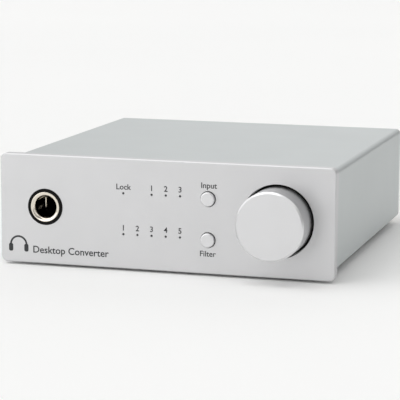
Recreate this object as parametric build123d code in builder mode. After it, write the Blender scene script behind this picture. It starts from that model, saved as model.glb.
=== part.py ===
"""Desktop digital-to-analogue converter with a headphone socket and a volume knob.

Millimetres. X runs to the right as seen from the front, Y runs to the rear and Z is up. The origin is on
the table, midway across the case and midway between the knob's face and the ends of the rear sockets.
Distances called "depth" are counted rearwards from the face of the front plate.
"""

import os

from build123d import *

# ---------------------------------------------------------------- case, plate and feet
case_width = 100.0
case_height = 30.0
case_depth = 103.5  # folded case behind the front plate
plate_overhang = 1.5  # the plate stands proud of the case all round
plate_thick = 3.0
plate_corner = 1.8
plate_edge = 0.3
plate_lift = 0.7  # gap between the plate's lower edge and the table
cover_thick = 1.5
cover_bend = 1.5  # outside radius of the cover's folds
lip_width = 8.0  # inward fold along the cover's lower edges
tab_gap = 0.15  # between a tab and the outermost socket's body
tab_side_gap = 0.3
tab_height = 6.5
tray_thick = 1.2
tray_bend = 1.5
tray_side_gap = 0.3
wall_top_gap = 0.2
rear_recess = 0.5  # rear wall sits inside the cover's rear edge
foot_radius = 5.0
foot_round = 1.2
foot_inset = 8.0  # from the cover's lip to the foot's centre
foot_front_depth = 14.0
foot_rear_margin = 14.0

# ---------------------------------------------------------------- fasteners
small_shank = 1.2
small_head = 2.25
small_head_high = 1.8
small_bite = 2.0  # thread length in the plate
screw_shank = 1.45
screw_head = 2.7
screw_head_high = 1.7
sink_head = 2.85
sink_head_high = 1.4
socket_across = 1.9
socket_deep = 0.9
thread_gap = 0.05  # radial gap round every screw's thread
pass_gap = 0.15  # radial gap where a screw or bush passes a sheet
cover_screw_front = 20.0
cover_screw_rear = 88.0
cover_screw_edge = 4.5
rear_screw_drop = 3.7
rear_head_high = 1.5
rear_screw_past = 1.0  # the shank ends that far past the tab
plate_screw_drop = 2.5
plate_screw_rise = 3.0
plate_screw_gap = 1.0  # from the jack's body to a screw head
plate_screw_right_edge = 4.6

# ---------------------------------------------------------------- volume control
knob_edge = 15.75  # knob's axis from the case's right side
knob_rise = 0.2  # above the middle of the case
knob_radius = 10.1
knob_reach = 9.7
knob_chamfer = 0.5
knob_window = 0.8  # radial gap between knob and plate
knob_skirt = 1.6  # how far the knob enters the plate
knob_recess_radius = 7.0
knob_recess_deep = 4.2
shaft_radius = 3.0
shaft_flat = 2.5
shaft_seat_gap = 0.02
shaft_run_gap = 0.04
shaft_tip_gap = 0.3
knob_face_wall = 1.4
grub_radius = 1.5
grub_length = 5.0
pot_width = 17.0
pot_deep = 7.5
pot_corner = 1.0
pot_wall = 1.0
rotor_radius = 6.0
rotor_thick = 1.5
rotor_gap = 0.5
bush_radius = 3.5
bush_reach = 1.0  # past the plate's face
nut_across = 10.0
nut_thick = 2.0
washer_edge_gap = 0.2  # the washer also blinds the gap round the knob
washer_thick = 0.5

# ---------------------------------------------------------------- buttons and lights
button_from_knob = 20.8
upper_button_rise = 5.75
lower_button_drop = 6.4
button_radius = 2.15
button_gap = 0.2
button_reach = 1.0
button_round = 0.4
button_flange_radius = 3.2
button_flange_thick = 0.75
button_stop_gap = 0.05
button_travel = 0.4
plunger_radius = 1.7
plunger_gap = 0.08
switch_width = 6.2
switch_corner = 0.5
switch_deep = 3.5
switch_gap = 1.2
light_pitch = 4.38
lights_from_button = 26.05  # first light's column from the button's column
upper_lights_rise = 6.15
lower_lights_drop = 6.1
light_pin_radius = 0.33
light_pin_gap = 0.03
light_pin_recess = 0.1
guide_height = 2.4
guide_margin = 1.5
led_width = 1.6
led_height = 0.8
led_thick = 0.6
front_board_thick = 1.6
front_board_side_gap = 0.6
front_board_low_gap = 1.3
front_board_top_gap = 2.5
link_width = 20.0
link_high = 3.2

# ---------------------------------------------------------------- headphone socket
jack_edge = 12.75  # socket's axis from the case's left side
jack_rise = 0.8
jack_bore_radius = 3.25
ferrule_wall = 1.25
ferrule_length = 6.8
ferrule_lip = 1.05  # radius of the rounded mouth
ferrule_proud = 0.3
collar_width = 0.95
collar_gap = 0.03
collar_proud = 0.2
collar_seat_gap = 0.05
jack_body_side = 4.75  # plastic on each side of the bore
jack_body_over = 4.25  # and above it
jack_body_deep = 30.0
jack_bore_step = 0.35  # the body's bore is that much wider than the ferrule's
jack_tail_wall = 2.0
spring_thick = 0.4
spring_height = 3.0
spring_side_gap = 0.5
ring_spring_depth = 6.2  # where the free end would reach without its lead-in
tip_spring_depth = 17.0
spring_slant = 8.0  # from there back to the foot of its slant
spring_bump = 0.7  # how far the bump stands inside the bore
spring_bump_depth = 3.3
spring_lead = 0.15  # the lead-in ends that far inside the bore
spring_lead_depth = 2.4
spring_lip = 0.65  # the free end is turned outwards
spring_bend = 1.2
spring_lip_bend = 0.25
spring_slot_gap = 1.0  # free length at each end of the springs' slots

# ---------------------------------------------------------------- main board and its parts
board_rise = 4.0
board_thick = 1.6
board_front_depth = 12.0
board_side_gap = 1.7
board_rear_gap = 0.6
standoff_radius = 2.5
standoff_edge = 8.0
standoff_front = 38.0
standoff_rear = 84.0
standoff_floor = 1.0  # the board screws end that far above the tray
# width, depth and height of the parts on the board, and their depths from its middle
receiver_size = (10.0, 10.0, 1.4)
receiver_depth = 14.0
converter_size = (7.0, 7.0, 1.0)
converter_depth = 4.0
amplifier_size = (5.0, 4.0, 1.6)
amplifier_depth = -24.0
oscillator_size = (7.0, 5.0, 1.6)
oscillator_depth = 18.0
oscillator_side = 6.0  # from the middle of the board
relay_size = (15.0, 7.5, 8.0)
relay_depth = 22.0
film_size = (7.2, 4.0, 9.0)
film_depths = (2.0, 8.0)
capacitor_radius = 4.0
capacitor_high = 11.5
inlet_capacitor_depths = (-6.0, 4.0, 14.0)
receiver_capacitor_sides = (-2.0, 8.0)
receiver_capacitor_depth = -8.0

# ---------------------------------------------------------------- rear sockets
rear_margin = 12.0  # outermost socket axes from the case's sides
socket_cut_gap = 0.2
rca_axis_rise = 8.0  # above the board
rca_body_margin = 0.85  # plastic round the shell
rca_body_deep = 9.0
rca_radius = 4.15
rca_wall = 0.5
rca_collar_step = 0.45  # the collar in the rear wall is that much larger
rca_reach = 8.3  # past the rear wall
rca_nose_gap = 0.05
rca_nose_recess = 0.8
rca_root = 2.0
rca_root_step = 0.2  # the root in the plastic is that much smaller
rca_centre_radius = 2.0
rca_centre_bore = 1.65
rca_centre_deep = 8.0
rca_chamfer = 0.4
usb_width = 12.0
usb_high = 11.0
usb_deep = 16.5
usb_wall = 0.5
usb_mouth_width = 8.5
usb_mouth_high = 7.8
usb_mouth_chamfer = 1.6
usb_proud = 0.6
usb_cavity = 9.5
usb_tongue_width = 5.6
usb_tongue_high = 3.2
usb_tongue_length = 8.0
optic_width = 11.0
optic_high = 12.0
optic_deep = 15.0
optic_proud = 0.4
optic_mouth = 8.6
optic_mouth_base = 1.5
optic_frame = 0.5
optic_cavity = 11.0
optic_pocket = 1.1
optic_fibre_radius = 1.4
optic_fibre_deep = 2.5
shutter_thick = 0.8
shutter_gap = 0.2
shutter_pin_radius = 0.35
shutter_pin_gap = 0.05
shutter_pin_length = 0.6
dc_width = 9.0
dc_high = 11.0
dc_deep = 14.0
dc_axis_rise = 6.5
dc_nose_radius = 4.2
dc_bore_radius = 2.95
dc_bore_deep = 9.5
dc_pin_radius = 1.05
dc_pin_root = 2.0
dc_pin_recess = 1.0
dc_slot_width = 2.8
dc_slot_reach = 4.3
dc_slot_recess = 1.5
dc_spring_width = 2.2
dc_spring_thick = 0.3
dc_spring_bulge = 0.5
dc_spring_foot = 1.0
dc_spring_bend = 0.6

# ---------------------------------------------------------------- places worked out from the sizes
plate_width = case_width + 2 * plate_overhang
plate_height = case_height + 2 * plate_overhang
case_bottom = plate_lift + plate_overhang
case_top = case_bottom + case_height
middle = case_bottom + case_height / 2
tray_bottom = case_bottom + cover_thick
tray_floor = tray_bottom + tray_thick
cover_ceiling = case_top - cover_thick
cover_inside = case_width / 2 - cover_thick
tray_half = cover_inside - tray_side_gap
upstand_back = plate_thick + tray_thick
case_rear = plate_thick + case_depth
wall_outer = case_rear - rear_recess
wall_inner = wall_outer - tray_thick
sockets_end = wall_outer + rca_reach
front_face = (knob_reach - sockets_end) / 2  # row Y of the plate's face

board_bottom = tray_floor + board_rise
board_top = board_bottom + board_thick
board_rear_depth = wall_inner - board_rear_gap

knob_x = case_width / 2 - knob_edge
knob_z = middle + knob_rise
button_x = knob_x - button_from_knob
button_heights = {"input": middle + upper_button_rise, "filter": middle - lower_button_drop}
first_light_x = button_x - lights_from_button
light_rows = {
    "upper": (middle + upper_lights_rise, (0, 2, 3, 4)),
    "lower": (middle - lower_lights_drop, (0, 1, 2, 3, 4)),
}
ferrule_radius = jack_bore_radius + ferrule_wall
jack_x = -case_width / 2 + jack_edge
jack_z = middle + jack_rise
collar_radius = ferrule_radius + collar_gap + collar_width
jack_body_width = 2 * (jack_bore_radius + jack_body_side)
jack_body_bore = jack_bore_radius + jack_bore_step

switch_front = upstand_back + button_stop_gap + button_flange_thick + switch_gap
front_board_front = switch_front + switch_deep
front_board_back = front_board_front + front_board_thick
front_board_left = jack_x + jack_body_width / 2 + front_board_side_gap
front_board_right = knob_x - pot_width / 2 - front_board_side_gap

plate_screws_x = (
    jack_x + jack_body_width / 2 + small_head + plate_screw_gap,
    case_width / 2 - plate_screw_right_edge,
)
plate_screws_z = (tray_floor + plate_screw_rise, cover_ceiling - plate_screw_drop)
rear_screw_z = cover_ceiling - rear_screw_drop
cover_screw_x = case_width / 2 - cover_screw_edge
standoff_x = case_width / 2 - standoff_edge

socket_names = ("dc", "usb", "optic", "coax", "right_out", "left_out")
socket_pitch = (case_width - 2 * rear_margin) / (len(socket_names) - 1)
socket_x = {name: rear_margin - case_width / 2 + i * socket_pitch for i, name in enumerate(socket_names)}
rca_z = board_top + rca_axis_rise
rca_bore = rca_radius - rca_wall
rca_collar_radius = rca_radius + rca_collar_step
rca_root_radius = rca_radius - rca_root_step
rca_body_half = rca_radius + rca_body_margin
tab_inner = socket_x["left_out"] + rca_body_half + tab_gap
tab_outer = cover_inside - tab_side_gap
rear_screw_x = (tab_inner + tab_outer) / 2
dc_z = board_top + dc_axis_rise
usb_z = board_top + usb_high / 2
optic_z = board_top + optic_mouth_base + optic_mouth / 2
optic_top = board_top + optic_high
optic_face = wall_outer + optic_proud
hinge_z = optic_z + optic_mouth / 2 + shutter_thick / 2
hinge_depth = optic_face - optic_frame - shutter_gap - shutter_thick / 2


same_place = 1e-6  # two distances closer than this are taken as one


def facing(depth):
    """A plane that faces the front at this depth. Its x and y are the row's X and Z."""
    return Plane.XZ.offset(-(front_face + depth))


def level(height):
    """A level plane at this height. Its x and y are the row's X and the depth."""
    return Plane(origin=(0, front_face, height), x_dir=(1, 0, 0), z_dir=(0, 0, 1))


def save(piece, name):
    """Labels a finished piece and writes it under the name of its node."""
    piece.part.label = name
    export_step(piece.part, f"parts/{name}.step")


os.makedirs("parts", exist_ok=True)

# ---------------------------------------------------------------- front plate
with BuildPart() as front_plate:
    with BuildSketch(facing(0)):
        with Locations((0, middle)):
            RectangleRounded(plate_width, plate_height, plate_corner)
    extrude(amount=-plate_thick)
    chamfer(front_plate.faces().sort_by(Axis.Y)[0].edges(), plate_edge)
    with BuildSketch(facing(0)):
        with Locations((knob_x, knob_z)):
            Circle(knob_radius + knob_window)
        with Locations((jack_x, jack_z)):
            Circle(collar_radius + collar_gap)
        with Locations([(button_x, z) for z in button_heights.values()]):
            Circle(button_radius + button_gap)
        for row_z, columns in light_rows.values():
            with Locations([(first_light_x + i * light_pitch, row_z) for i in columns]):
                Circle(light_pin_radius + light_pin_gap)
    extrude(amount=-plate_thick, mode=Mode.SUBTRACT)
    with BuildSketch(facing(plate_thick)):
        with Locations([(x, z) for x in plate_screws_x for z in plate_screws_z]):
            Circle(small_shank + thread_gap)
    extrude(amount=small_bite + thread_gap, mode=Mode.SUBTRACT)
save(front_plate, "front_plate")

# ---------------------------------------------------------------- folded case
with BuildPart() as chassis_tray:
    with BuildSketch(Plane.YZ) as tray_profile:
        with BuildLine():
            Polyline(
                (front_face + plate_thick, tray_bottom),
                (front_face + wall_outer, tray_bottom),
                (front_face + wall_outer, cover_ceiling - wall_top_gap),
                (front_face + wall_inner, cover_ceiling - wall_top_gap),
                (front_face + wall_inner, tray_floor),
                (front_face + upstand_back, tray_floor),
                (front_face + upstand_back, cover_ceiling - wall_top_gap),
                (front_face + plate_thick, cover_ceiling - wall_top_gap),
                close=True,
            )
        make_face()
        fillet(tray_profile.vertices().group_by(Axis.Y)[0], tray_bend)
        floor_corners = tray_profile.vertices().filter_by(lambda v: abs(v.Y - tray_floor) < same_place)
        fillet(floor_corners, tray_bend - tray_thick)
    extrude(amount=tray_half, both=True)
    # openings in the front upstand
    with BuildSketch(facing(plate_thick)):
        with Locations((knob_x, knob_z)):
            Circle(bush_radius + pass_gap)
        with Locations((jack_x, jack_z)):
            Circle(ferrule_radius + pass_gap)
        with Locations([(button_x, z) for z in button_heights.values()]):
            Circle(button_radius + button_gap)
        for row_z, columns in light_rows.values():
            with Locations([(first_light_x + i * light_pitch, row_z) for i in columns]):
                Circle(light_pin_radius + pass_gap)
        with Locations([(x, z) for x in plate_screws_x for z in plate_screws_z]):
            Circle(small_shank + pass_gap)
    extrude(amount=-tray_thick, mode=Mode.SUBTRACT)
    # openings in the rear wall
    with BuildSketch(facing(wall_inner)):
        with Locations([(socket_x[name], rca_z) for name in socket_names[3:]]):
            Circle(rca_collar_radius + pass_gap)
        with Locations((socket_x["dc"], dc_z)):
            Circle(dc_nose_radius + pass_gap)
        with Locations((socket_x["usb"], usb_z)):
            Rectangle(usb_width + 2 * socket_cut_gap, usb_high + 2 * socket_cut_gap)
        with Locations((socket_x["optic"], board_top + optic_high / 2)):
            Rectangle(optic_width + 2 * socket_cut_gap, optic_high + 2 * socket_cut_gap)
        with Locations([(side * rear_screw_x, rear_screw_z) for side in (-1, 1)]):
            Circle(small_shank + pass_gap)
    extrude(amount=-tray_thick, mode=Mode.SUBTRACT)
    # threads for the cover screws
    with BuildSketch(level(tray_bottom)):
        for depth in (cover_screw_front, cover_screw_rear):
            with Locations([(side * cover_screw_x, depth) for side in (-1, 1)]):
                Circle(screw_shank + thread_gap)
    extrude(amount=tray_thick, mode=Mode.SUBTRACT)
save(chassis_tray, "chassis_tray")

with BuildPart() as top_cover:
    with BuildSketch(facing(plate_thick)) as cover_profile:
        with BuildLine():
            Polyline(
                (case_width / 2 - lip_width, case_bottom),
                (case_width / 2, case_bottom),
                (case_width / 2, case_top),
                (-case_width / 2, case_top),
                (-case_width / 2, case_bottom),
                (-case_width / 2 + lip_width, case_bottom),
                (-case_width / 2 + lip_width, tray_bottom),
                (-cover_inside, tray_bottom),
                (-cover_inside, cover_ceiling),
                (cover_inside, cover_ceiling),
                (cover_inside, tray_bottom),
                (case_width / 2 - lip_width, tray_bottom),
                close=True,
            )
        make_face()
        folds = cover_profile.vertices().filter_by(lambda v: abs(abs(v.X) - case_width / 2) < same_place)
        fillet(folds, cover_bend)
    extrude(amount=-case_depth)
    # tabs behind the rear wall
    with BuildSketch(facing(wall_inner - cover_thick)):
        with Locations([(side * rear_screw_x, cover_ceiling - tab_height / 2) for side in (-1, 1)]):
            Rectangle(tab_outer - tab_inner, tab_height)
    extrude(amount=-cover_thick)
    with BuildSketch(facing(wall_inner - cover_thick)):
        with Locations([(side * rear_screw_x, rear_screw_z) for side in (-1, 1)]):
            Circle(small_shank + thread_gap)
    extrude(amount=-cover_thick, mode=Mode.SUBTRACT)
    # countersunk holes in the lips
    with BuildSketch(level(case_bottom)):
        for depth in (cover_screw_front, cover_screw_rear):
            with Locations([(side * cover_screw_x, depth) for side in (-1, 1)]):
                Circle(sink_head + thread_gap)
    extrude(amount=cover_thick, taper=45, mode=Mode.SUBTRACT)
    with BuildSketch(level(case_bottom)):
        for depth in (cover_screw_front, cover_screw_rear):
            with Locations([(side * cover_screw_x, depth) for side in (-1, 1)]):
                Circle(screw_shank + pass_gap)
    extrude(amount=cover_thick, mode=Mode.SUBTRACT)
save(top_cover, "top_cover")

for end, depth in (("front", foot_front_depth), ("rear", case_rear - foot_rear_margin)):
    for side, sign in (("left", -1), ("right", 1)):
        foot_x = sign * (case_width / 2 - lip_width - foot_inset)
        with BuildPart() as foot:
            with BuildSketch(level(0)):
                with Locations((foot_x, depth)):
                    Circle(foot_radius)
            extrude(amount=tray_bottom)
            fillet(foot.faces().sort_by(Axis.Z)[0].edges(), foot_round)
        save(foot, f"foot_{end}_{side}")

# ---------------------------------------------------------------- case screws
with BuildPart() as front_plate_screws:
    places = [(x, z) for x in plate_screws_x for z in plate_screws_z]
    with BuildSketch(facing(upstand_back)):
        with Locations(places):
            Circle(small_head)
    extrude(amount=-small_head_high)
    with BuildSketch(facing(upstand_back)):
        with Locations(places):
            Circle(small_shank)
    extrude(amount=tray_thick + small_bite)
    with BuildSketch(facing(upstand_back + small_head_high)):
        with Locations(places):
            RegularPolygon(socket_across / 2, 6, major_radius=False)
    extrude(amount=socket_deep, mode=Mode.SUBTRACT)
save(front_plate_screws, "front_plate_screws")

with BuildPart() as cover_screws:
    places = [(s * cover_screw_x, d) for s in (-1, 1) for d in (cover_screw_front, cover_screw_rear)]
    with BuildSketch(level(case_bottom)):
        with Locations(places):
            Circle(sink_head)
    extrude(amount=sink_head_high, taper=45)
    with BuildSketch(level(case_bottom)):
        with Locations(places):
            Circle(screw_shank)
    extrude(amount=cover_thick + 2 * tray_thick)
    with BuildSketch(level(case_bottom)):
        with Locations(places):
            RegularPolygon(socket_across / 2, 6, major_radius=False)
    extrude(amount=socket_deep, mode=Mode.SUBTRACT)
save(cover_screws, "cover_screws")

with BuildPart() as rear_screws:
    places = [(side * rear_screw_x, rear_screw_z) for side in (-1, 1)]
    with BuildSketch(facing(wall_outer)):
        with Locations(places):
            Circle(small_head)
    extrude(amount=-rear_head_high)
    fillet(rear_screws.faces().group_by(Axis.Y)[-1].edges(), rear_head_high / 2)
    with BuildSketch(facing(wall_outer)):
        with Locations(places):
            Circle(small_shank)
    extrude(amount=tray_thick + cover_thick + rear_screw_past)
    with BuildSketch(facing(wall_outer + rear_head_high)):
        with Locations(places):
            RegularPolygon(socket_across / 2, 6, major_radius=False)
    extrude(amount=socket_deep, mode=Mode.SUBTRACT)
save(rear_screws, "rear_screws")

# ---------------------------------------------------------------- volume control
knob_recess_floor = knob_skirt - knob_recess_deep
shaft_tip = knob_face_wall - knob_reach + shaft_tip_gap
grub_depth = (shaft_tip + knob_recess_floor) / 2

with BuildPart() as volume_knob:
    with BuildSketch(facing(-knob_reach)):
        with Locations((knob_x, knob_z)):
            Circle(knob_radius)
    extrude(amount=-(knob_reach + knob_skirt))
    chamfer(volume_knob.faces().sort_by(Axis.Y)[0].edges(), knob_chamfer)
    with BuildSketch(facing(knob_skirt)):
        with Locations((knob_x, knob_z)):
            Circle(knob_recess_radius)
    extrude(amount=knob_recess_deep, mode=Mode.SUBTRACT)
    with BuildSketch(facing(knob_recess_floor)):
        with Locations((knob_x, knob_z)):
            Circle(shaft_radius + shaft_seat_gap)
    extrude(amount=knob_recess_floor + knob_reach - knob_face_wall, mode=Mode.SUBTRACT)
    with BuildSketch(level(knob_z)):
        with Locations((knob_x, grub_depth)):
            Circle(grub_radius + thread_gap)
    extrude(amount=-knob_radius, mode=Mode.SUBTRACT)
save(volume_knob, "volume_knob")

with BuildPart() as knob_grub_screw:
    with BuildSketch(level(knob_z - shaft_flat)):
        with Locations((knob_x, grub_depth)):
            Circle(grub_radius)
    extrude(amount=-grub_length)
    with BuildSketch(level(knob_z - shaft_flat - grub_length)):
        with Locations((knob_x, grub_depth)):
            RegularPolygon(socket_across / 2, 6, major_radius=False)
    extrude(amount=2 * socket_deep, mode=Mode.SUBTRACT)
save(knob_grub_screw, "knob_grub_screw")

cavity_front = upstand_back + pot_wall
cavity_back = upstand_back + pot_deep - pot_wall
with BuildPart() as pot_shaft:
    with BuildSketch(facing(shaft_tip)):
        with Locations((knob_x, knob_z)):
            Circle(shaft_radius)
    extrude(amount=-(cavity_back - rotor_gap - shaft_tip))
    with BuildSketch(facing(cavity_front + rotor_gap)):
        with Locations((knob_x, knob_z)):
            Circle(rotor_radius)
    extrude(amount=-rotor_thick)
    # flat for the grub screw
    with BuildSketch(facing(shaft_tip)):
        with Locations((knob_x, knob_z - shaft_flat)):
            Rectangle(2 * shaft_radius, shaft_radius, align=(Align.CENTER, Align.MAX))
    extrude(amount=-(knob_recess_floor - shaft_tip), mode=Mode.SUBTRACT)
save(pot_shaft, "pot_shaft")

with BuildPart() as pot_body:
    with BuildSketch(facing(upstand_back)):
        with Locations((knob_x, knob_z)):
            RectangleRounded(pot_width, pot_width, pot_corner)
    extrude(amount=-pot_deep)
    with BuildSketch(facing(cavity_front)):
        with Locations((knob_x, knob_z)):
            Circle(rotor_radius + rotor_gap)
    extrude(amount=-(cavity_back - cavity_front), mode=Mode.SUBTRACT)
    with BuildSketch(facing(upstand_back)):
        with Locations((knob_x, knob_z)):
            Circle(shaft_radius + 4 * shaft_run_gap)
    extrude(amount=-pot_wall, mode=Mode.SUBTRACT)
save(pot_body, "pot_body")

with BuildPart() as pot_bush:
    with BuildSketch(facing(-bush_reach)):
        with Locations((knob_x, knob_z)):
            Circle(bush_radius)
            Circle(shaft_radius + shaft_run_gap, mode=Mode.SUBTRACT)
    extrude(amount=-(bush_reach + upstand_back))
save(pot_bush, "pot_bush")

with BuildPart() as pot_washer:
    with BuildSketch(facing(plate_thick - washer_thick)):
        with Locations((knob_x, knob_z)):
            Circle(knob_radius + knob_window - washer_edge_gap)
            Circle(bush_radius + thread_gap, mode=Mode.SUBTRACT)
    extrude(amount=-washer_thick)
save(pot_washer, "pot_washer")

with BuildPart() as pot_nut:
    with BuildSketch(facing(plate_thick - washer_thick - nut_thick)):
        with Locations((knob_x, knob_z)):
            RegularPolygon(nut_across / 2, 6, major_radius=False)
            Circle(bush_radius + thread_gap, mode=Mode.SUBTRACT)
    extrude(amount=-nut_thick)
save(pot_nut, "pot_nut")

# ---------------------------------------------------------------- buttons and their switches
flange_front = upstand_back + button_stop_gap
flange_back = flange_front + button_flange_thick
plunger_end = switch_front + plunger_radius
for choice, button_z in button_heights.items():
    with BuildPart() as button:
        with BuildSketch(facing(-button_reach)):
            with Locations((button_x, button_z)):
                Circle(button_radius)
        extrude(amount=-(button_reach + flange_back))
        fillet(button.faces().sort_by(Axis.Y)[0].edges(), button_round)
        with BuildSketch(facing(flange_front)):
            with Locations((button_x, button_z)):
                Circle(button_flange_radius)
        extrude(amount=-button_flange_thick)
    save(button, f"{choice}_button")

    with BuildPart() as plunger:
        with BuildSketch(facing(flange_back)):
            with Locations((button_x, button_z)):
                Circle(plunger_radius)
        extrude(amount=-(plunger_end - flange_back))
    save(plunger, f"{choice}_switch_plunger")

    with BuildPart() as switch:
        with BuildSketch(facing(switch_front)):
            with Locations((button_x, button_z)):
                RectangleRounded(switch_width, switch_width, switch_corner)
        extrude(amount=-switch_deep)
        with BuildSketch(facing(switch_front)):
            with Locations((button_x, button_z)):
                Circle(plunger_radius + plunger_gap)
        extrude(amount=-(plunger_end - switch_front + 2 * button_travel), mode=Mode.SUBTRACT)
    save(switch, f"{choice}_switch_body")

# ---------------------------------------------------------------- light guides and indicator lights
for row, (row_z, columns) in light_rows.items():
    lights = [(first_light_x + i * light_pitch, row_z) for i in columns]
    guide_width = (columns[-1] - columns[0]) * light_pitch + 2 * guide_margin
    with BuildPart() as guide:
        with BuildSketch(facing(upstand_back)):
            with Locations(((lights[0][0] + lights[-1][0]) / 2, row_z)):
                Rectangle(guide_width, guide_height)
        extrude(amount=-(front_board_front - led_thick - upstand_back))
        with BuildSketch(facing(light_pin_recess)):
            with Locations(lights):
                Circle(light_pin_radius)
        extrude(amount=-(upstand_back - light_pin_recess))
    save(guide, f"{row}_light_guide")

    with BuildPart() as leds:
        with BuildSketch(facing(front_board_front - led_thick)):
            with Locations(lights):
                Rectangle(led_width, led_height)
        extrude(amount=-led_thick)
    save(leds, f"{row}_indicator_leds")

with BuildPart() as front_board:
    board_low = tray_floor + front_board_low_gap
    board_high = cover_ceiling - front_board_top_gap
    with BuildSketch(facing(front_board_front)):
        with Locations((front_board_left, board_low)):
            Rectangle(
                front_board_right - front_board_left,
                board_high - board_low,
                align=(Align.MIN, Align.MIN),
            )
    extrude(amount=-front_board_thick)
save(front_board, "front_board")

with BuildPart() as board_link:
    link_x = (front_board_left + front_board_right) / 2
    with BuildSketch(facing(front_board_back)):
        with Locations((link_x, board_top)):
            Rectangle(link_width, link_high, align=(Align.CENTER, Align.MIN))
    extrude(amount=-2 * link_high)
save(board_link, "board_link")

# ---------------------------------------------------------------- headphone socket
with BuildPart() as jack_collar:
    with BuildSketch(facing(-collar_proud)):
        with Locations((jack_x, jack_z)):
            Circle(collar_radius)
            Circle(ferrule_radius + collar_gap, mode=Mode.SUBTRACT)
    extrude(amount=-(collar_proud + plate_thick))
    rim = jack_collar.faces().sort_by(Axis.Y)[0].outer_wire().edges()
    fillet(rim, collar_proud / 2)
save(jack_collar, "jack_collar")

with BuildPart() as jack_ferrule:
    with BuildSketch(facing(-ferrule_proud)):
        with Locations((jack_x, jack_z)):
            Circle(ferrule_radius)
            Circle(jack_bore_radius, mode=Mode.SUBTRACT)
    extrude(amount=-ferrule_length)
    mouth = jack_ferrule.faces().sort_by(Axis.Y)[0]
    fillet(mouth.inner_wires()[0].edges(), ferrule_lip)
    outer_rim = jack_ferrule.faces().sort_by(Axis.Y)[0].outer_wire().edges()
    fillet(outer_rim, (ferrule_radius - jack_bore_radius - ferrule_lip) / 2)
save(jack_ferrule, "jack_ferrule")

ferrule_end = ferrule_length - ferrule_proud
jack_back = upstand_back + jack_body_deep
with BuildPart() as jack_body:
    with BuildSketch(facing(upstand_back)):
        with Locations((jack_x, board_top)):
            Rectangle(
                jack_body_width,
                jack_z + jack_bore_radius + jack_body_over - board_top,
                align=(Align.CENTER, Align.MIN),
            )
    extrude(amount=-jack_body_deep)
    with BuildSketch(facing(upstand_back)):
        with Locations((jack_x, jack_z)):
            Circle(jack_body_bore)
    extrude(amount=-(jack_body_deep - jack_tail_wall), mode=Mode.SUBTRACT)
    with BuildSketch(facing(upstand_back)):
        with Locations((jack_x, jack_z)):
            Circle(ferrule_radius + collar_seat_gap)
    extrude(amount=-(ferrule_end + collar_seat_gap - upstand_back), mode=Mode.SUBTRACT)
    # slots for the two springs, one each side of the bore
    with BuildSketch(facing(ferrule_end + spring_slot_gap)):
        with Locations((jack_x, jack_z)):
            Rectangle(jack_body_width - 2 * jack_tail_wall, spring_height + 2 * spring_side_gap)
    extrude(amount=-(jack_back - jack_tail_wall - ferrule_end - spring_slot_gap), mode=Mode.SUBTRACT)
save(jack_body, "jack_body")

spring_root = jack_body_width / 2 - jack_tail_wall - spring_thick
spring_start = jack_back - jack_tail_wall - spring_slot_gap
spring_reaches = {"ring": (-1, ring_spring_depth), "tip": (1, tip_spring_depth)}
for contact, (side, first_depth) in spring_reaches.items():
    with BuildPart() as spring:
        with BuildSketch(level(jack_z - spring_height / 2)):
            with BuildLine():
                FilletPolyline(
                    (jack_x + side * spring_root, spring_start),
                    (jack_x + side * spring_root, first_depth + spring_slant),
                    (jack_x + side * (jack_bore_radius - spring_bump), first_depth + spring_bump_depth),
                    (jack_x + side * (jack_bore_radius - spring_lead), first_depth + spring_lead_depth),
                    (jack_x + side * (jack_bore_radius + spring_lip), first_depth + spring_lead_depth),
                    radius=[spring_bend, spring_bend, spring_lip_bend],
                )
            trace(line_width=spring_thick)
        extrude(amount=spring_height)
    save(spring, f"jack_{contact}_spring")

# ---------------------------------------------------------------- main board
with BuildPart() as main_board:
    with BuildSketch(level(board_bottom)):
        with Locations((0, board_front_depth)):
            Rectangle(
                2 * (tray_half - board_side_gap),
                board_rear_depth - board_front_depth,
                align=(Align.CENTER, Align.MIN),
            )
        for depth in (standoff_front, standoff_rear):
            with Locations([(side * standoff_x, depth) for side in (-1, 1)]):
                Circle(screw_shank + pass_gap, mode=Mode.SUBTRACT)
    extrude(amount=board_thick)
save(main_board, "main_board")

standoff_places = [(s * standoff_x, d) for s in (-1, 1) for d in (standoff_front, standoff_rear)]
with BuildPart() as board_standoffs:
    with BuildSketch(level(tray_floor)):
        with Locations(standoff_places):
            Circle(standoff_radius)
            Circle(screw_shank + thread_gap, mode=Mode.SUBTRACT)
    extrude(amount=board_rise)
save(board_standoffs, "board_standoffs")

with BuildPart() as board_screws:
    with BuildSketch(level(board_top)):
        with Locations(standoff_places):
            Circle(screw_head)
    extrude(amount=screw_head_high)
    with BuildSketch(level(board_top)):
        with Locations(standoff_places):
            Circle(screw_shank)
    extrude(amount=-(board_thick + board_rise - standoff_floor))
    with BuildSketch(level(board_top + screw_head_high)):
        with Locations(standoff_places):
            RegularPolygon(socket_across / 2, 6, major_radius=False)
    extrude(amount=-socket_deep, mode=Mode.SUBTRACT)
save(board_screws, "board_screws")

board_middle = (board_front_depth + board_rear_depth) / 2


def on_board(name, places, width, deep, high):
    """Square-cornered parts that stand on the main board, at (x, depth from the board's middle)."""
    with BuildPart() as chips:
        with BuildSketch(level(board_top)):
            with Locations([(x, board_middle + depth) for x, depth in places]):
                Rectangle(width, deep)
        extrude(amount=high)
    save(chips, name)


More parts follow.
